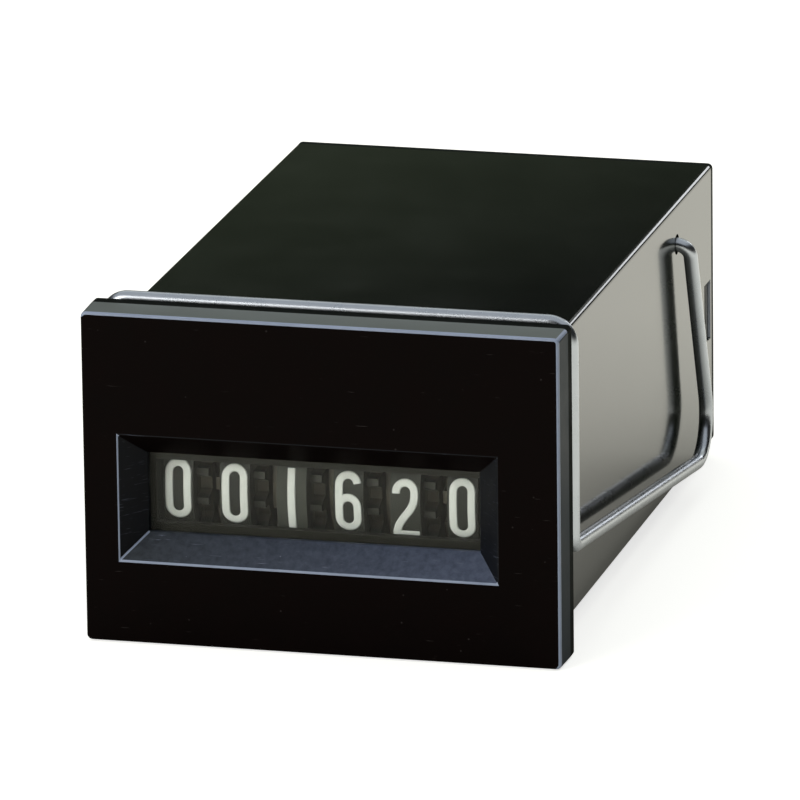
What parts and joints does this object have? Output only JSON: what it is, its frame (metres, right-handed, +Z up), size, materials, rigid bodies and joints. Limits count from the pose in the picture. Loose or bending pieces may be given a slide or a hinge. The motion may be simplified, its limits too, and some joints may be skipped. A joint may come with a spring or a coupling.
{
  "type": "panel counter",
  "caption": "Box-shaped electromechanical panel counter with a recessed numeral window, a geared number-wheel train, a coil drive and a spring-wire panel clip.",
  "frame": {"origin": "middle of the plane where the panel bears on the gasket, behind the bezel", "axes": "+X to the right seen from the front, +Y to the rear along the housing, +Z up"},
  "size_m": [0.0368, 0.0633, 0.0259],
  "materials": {
    "bezel": "satin moulded",
    "clear": "polished clear",
    "gasket": "smooth",
    "housing": "glossy moulded",
    "spring_wire": "drawn spring steel",
    "terminal": "tinned",
    "chassis": "moulded",
    "wheel": "moulded, white numerals",
    "pinion": "moulded",
    "steel": "ground",
    "iron": "plated soft iron",
    "bobbin": "moulded",
    "winding": "enamelled copper wire",
    "lead": "insulated"
  },
  "bodies": {
    "case": {"front_bezel": "bezel", "window_pane": "clear", "panel_gasket": "gasket", "housing": "housing", "wire_clip": "spring_wire", "rear_cover": "housing", "terminal_left": "terminal", "terminal_right": "terminal", "chassis": "chassis", "wheel_shaft": "steel", "pinion_shaft": "steel", "yoke": "iron", "core": "iron", "bobbin": "bobbin", "coil_winding": "winding", "yoke_screws": "steel", "coil_leads": "lead", "armature_pin": "steel", "return_spring": "spring_wire"},
    "hundred_thousands_wheel": {"hundred_thousands_wheel": "wheel"},
    "ten_thousands_wheel": {"ten_thousands_wheel": "wheel"},
    "thousands_wheel": {"thousands_wheel": "wheel"},
    "hundreds_wheel": {"hundreds_wheel": "wheel"},
    "tens_wheel": {"tens_wheel": "wheel"},
    "units_wheel": {"units_wheel": "wheel"},
    "transfer_pinion_1": {"transfer_pinion_1": "pinion"},
    "transfer_pinion_2": {"transfer_pinion_2": "pinion"},
    "transfer_pinion_3": {"transfer_pinion_3": "pinion"},
    "transfer_pinion_4": {"transfer_pinion_4": "pinion"},
    "transfer_pinion_5": {"transfer_pinion_5": "pinion"},
    "armature": {"armature": "iron", "pallet_fork": "bobbin"}
  },
  "joints": [
    {"name": "units_spin", "type": "hinge", "parent": "case", "child": "units_wheel", "pos_m": [0, 0.0083, -0.0017], "axis": [1, 0, 0], "continuous": true},
    {"name": "tens_spin", "type": "hinge", "parent": "case", "child": "tens_wheel", "pos_m": [0, 0.0083, -0.0017], "axis": [1, 0, 0], "continuous": true},
    {"name": "hundreds_spin", "type": "hinge", "parent": "case", "child": "hundreds_wheel", "pos_m": [0, 0.0083, -0.0017], "axis": [1, 0, 0], "continuous": true},
    {"name": "thousands_spin", "type": "hinge", "parent": "case", "child": "thousands_wheel", "pos_m": [0, 0.0083, -0.0017], "axis": [1, 0, 0], "continuous": true},
    {"name": "ten_thousands_spin", "type": "hinge", "parent": "case", "child": "ten_thousands_wheel", "pos_m": [0, 0.0083, -0.0017], "axis": [1, 0, 0], "continuous": true},
    {"name": "hundred_thousands_spin", "type": "hinge", "parent": "case", "child": "hundred_thousands_wheel", "pos_m": [0, 0.0083, -0.0017], "axis": [1, 0, 0], "continuous": true},
    {"name": "pinion_5_spin", "type": "hinge", "parent": "case", "child": "transfer_pinion_5", "pos_m": [0, 0.01498, 0.00498], "axis": [1, 0, 0], "continuous": true},
    {"name": "pinion_4_spin", "type": "hinge", "parent": "case", "child": "transfer_pinion_4", "pos_m": [0, 0.01498, 0.00498], "axis": [1, 0, 0], "continuous": true},
    {"name": "pinion_3_spin", "type": "hinge", "parent": "case", "child": "transfer_pinion_3", "pos_m": [0, 0.01498, 0.00498], "axis": [1, 0, 0], "continuous": true},
    {"name": "pinion_2_spin", "type": "hinge", "parent": "case", "child": "transfer_pinion_2", "pos_m": [0, 0.01498, 0.00498], "axis": [1, 0, 0], "continuous": true},
    {"name": "pinion_1_spin", "type": "hinge", "parent": "case", "child": "transfer_pinion_1", "pos_m": [0, 0.01498, 0.00498], "axis": [1, 0, 0], "continuous": true},
    {"name": "armature_swing", "type": "hinge", "parent": "case", "child": "armature", "pos_m": [0, 0.02385, -0.0052], "axis": [-1, 0, 0], "range_deg": [0, 4], "stiffness_Nm_per_rad": 0.005, "springref_deg": -11.46}
  ],
  "couplings": [
    {"joint": "tens_spin", "follows": "units_spin", "ratio": 0.1},
    {"joint": "hundreds_spin", "follows": "units_spin", "ratio": 0.01},
    {"joint": "thousands_spin", "follows": "units_spin", "ratio": 0.001},
    {"joint": "ten_thousands_spin", "follows": "units_spin", "ratio": 0.0001},
    {"joint": "hundred_thousands_spin", "follows": "units_spin", "ratio": 0.00001},
    {"joint": "pinion_5_spin", "follows": "units_spin", "ratio": -0.25},
    {"joint": "pinion_4_spin", "follows": "units_spin", "ratio": -0.025},
    {"joint": "pinion_3_spin", "follows": "units_spin", "ratio": -0.0025},
    {"joint": "pinion_2_spin", "follows": "units_spin", "ratio": -0.00025},
    {"joint": "pinion_1_spin", "follows": "units_spin", "ratio": -0.000025}
  ]
}
